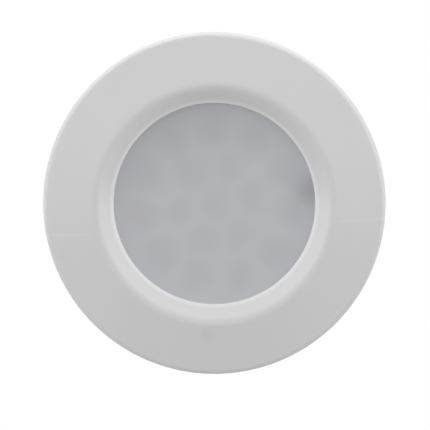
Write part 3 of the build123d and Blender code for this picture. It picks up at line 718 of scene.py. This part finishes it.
def make_grommet():
    """The rubber grommet, with rounded flanges either side of the cover and an open bore."""
    builder = bmesh.new()
    corners = [
        (GROMMET_BORE_RADIUS, GROMMET_INNER_Y),
        (GROMMET_INNER_FACE_RADIUS, GROMMET_INNER_Y),
        (GROMMET_FLANGE_RADIUS, COVER_FRONT_Y),
        (GROMMET_NECK_RADIUS, COVER_FRONT_Y),
        (GROMMET_NECK_RADIUS, COVER_BACK_Y),
        (GROMMET_FLANGE_RADIUS, COVER_BACK_Y),
        (GROMMET_OUTER_FACE_RADIUS, GROMMET_OUTER_Y),
        (GROMMET_BORE_RADIUS, GROMMET_OUTER_Y),
    ]
    radii = (0.35, 0.4, 0.25, 0.05, 0.05, 0.25, 0.45, 0.5)
    outline = rounded_outline(corners, radii, arc_steps=5)
    lathe(builder, outline, GROMMET_STEPS, (0, GROMMET_Z))
    new_object("cable_grommet_rubber", builder, "grommet_black", "root", ("cable_grommet",), 50)


make_diffuser()
for node, width in SOFT_EDGES.items():
    soften_edges(node, width)
make_dial_marks()
make_grommet()
for side, name in ((1, "right"), (-1, "left")):
    make_spring(side, name)
    make_sleeve(side, name)

# ------------------------------------------------------------------ stage, light and camera
FLOOR_Z = -0.80
FLOOR_HALF = 5.0
FLOOR_DARK = (0.41, 0.41, 0.41)
FLOOR_LIGHT = (0.45, 0.45, 0.45)
# Directions are told by their part along +Y, which runs from -1 at the camera's wall to 1 behind
# the object. The side panels end where it passes FRONT_START to FRONT_END, the room's walls fade
# over FADE_START to FADE_END, and the seen backdrop turns white over WHITE_START to WHITE_END.
SIDE_LIGHT = 3.16
SIDE_FADE = 0.42
TOP_LIGHT = 1.08
TOP_NARROWNESS = 4.0
ROOM_LIGHT = 0.96
BACK_LIGHT = 0.52
CAMERA_WALL_LIGHT = 0.93
CAMERA_WALL_END = -0.99
FRONT_START = -0.12
FRONT_END = 0.10
FADE_START = 0.15
FADE_END = 0.85
BACKDROP_GREY = 0.50
WHITE_START = 0.60
WHITE_END = 0.95
VIEW_WIDTH = 88.04 * MM
CAMERA_DISTANCE = 0.8
CAMERA_RISE = 3.8
AIM = Vector((0.12 * MM, 0, -2.44 * MM))


def make_floor():
    """The plain pale floor, far below, where it takes no shadow in the main view."""
    builder = bmesh.new()
    corners = [(-1, -1), (1, -1), (1, 1), (-1, 1)]
    builder.faces.new([builder.verts.new((x * FLOOR_HALF, y * FLOOR_HALF, FLOOR_Z)) for x, y in corners])
    mesh = bpy.data.meshes.new("floor")
    builder.to_mesh(mesh)
    builder.free()
    floor = bpy.data.objects.new("floor", mesh)
    bpy.context.scene.collection.objects.link(floor)
    material, tree, shader = new_material("floor_pale")
    drift = object_noise(tree, 0.3, detail=2.0)
    tree.links.new(ramp(tree, drift, FLOOR_DARK, FLOOR_LIGHT), shader.inputs["Base Color"])
    shader.inputs["Roughness"].default_value = 0.8
    floor.data.materials.append(material)


def light_tent():
    """Soft light: tall panels on both sides of the face, a panel overhead and pale walls."""
    world = bpy.data.worlds.new("light_tent")
    bpy.context.scene.world = world
    world.use_nodes = True
    tree = world.node_tree
    background = tree.nodes["Background"]
    place = add_node(tree, "ShaderNodeTexCoord")
    axes = add_node(tree, "ShaderNodeSeparateXYZ")
    tree.links.new(place.outputs["Generated"], axes.inputs["Vector"])
    across, along, up = (axes.outputs[name] for name in "XYZ")
    in_front = remap(tree, along, 1.0, 0.0, FRONT_START, FRONT_END)
    squared = maths(tree, "MULTIPLY", across, across)
    side_fade = maths(tree, "MULTIPLY", maths(tree, "MULTIPLY", squared, squared), SIDE_FADE)
    faded = maths(tree, "SUBTRACT", 1.0, side_fade)
    panels = maths(tree, "MULTIPLY", maths(tree, "MULTIPLY", squared, faded), in_front)
    overhead = maths(tree, "POWER", maths(tree, "MAXIMUM", up, 0.0), TOP_NARROWNESS)
    fade = remap(tree, along, ROOM_LIGHT, BACK_LIGHT, FADE_START, FADE_END)
    room = maths(tree, "MULTIPLY", maths(tree, "SUBTRACT", 1.0, in_front), fade)
    camera_wall = maths(tree, "LESS_THAN", along, CAMERA_WALL_END)
    level = 0.0
    for share, strength in (
        (panels, SIDE_LIGHT),
        (overhead, TOP_LIGHT),
        (room, 1.0),
        (camera_wall, CAMERA_WALL_LIGHT),
    ):
        level = maths(tree, "ADD", maths(tree, "MULTIPLY", share, strength), level)
    # what the camera sees past the object is plain: white before and behind it, grey at its sides
    seen = add_node(tree, "ShaderNodeLightPath").outputs["Is Camera Ray"]
    unseen = maths(tree, "SUBTRACT", 1.0, seen)
    to_wall = maths(tree, "ABSOLUTE", along)
    backdrop = remap(tree, to_wall, BACKDROP_GREY, 1.0, WHITE_START, WHITE_END)
    lit = maths(tree, "MULTIPLY", level, unseen)
    level = maths(tree, "ADD", lit, maths(tree, "MULTIPLY", backdrop, seen))
    tree.links.new(level, background.inputs["Strength"])
    background.inputs["Color"].default_value = (1, 1, 1, 1)


def make_camera():
    """Almost square on, from a little above, as the photograph was taken."""
    data = bpy.data.cameras.new("camera")
    data.sensor_width = 36.0
    data.lens = data.sensor_width * CAMERA_DISTANCE / VIEW_WIDTH
    data.clip_end = 30
    camera = bpy.data.objects.new("camera", data)
    bpy.context.scene.collection.objects.link(camera)
    back = Vector((0, -cos(radians(CAMERA_RISE)), sin(radians(CAMERA_RISE))))
    camera.location = AIM + back * CAMERA_DISTANCE
    camera.rotation_euler = (-back).to_track_quat("-Z", "Y").to_euler()
    bpy.context.scene.camera = camera


make_floor()
light_tent()
make_camera()
bpy.context.scene.view_settings.view_transform = "Standard"
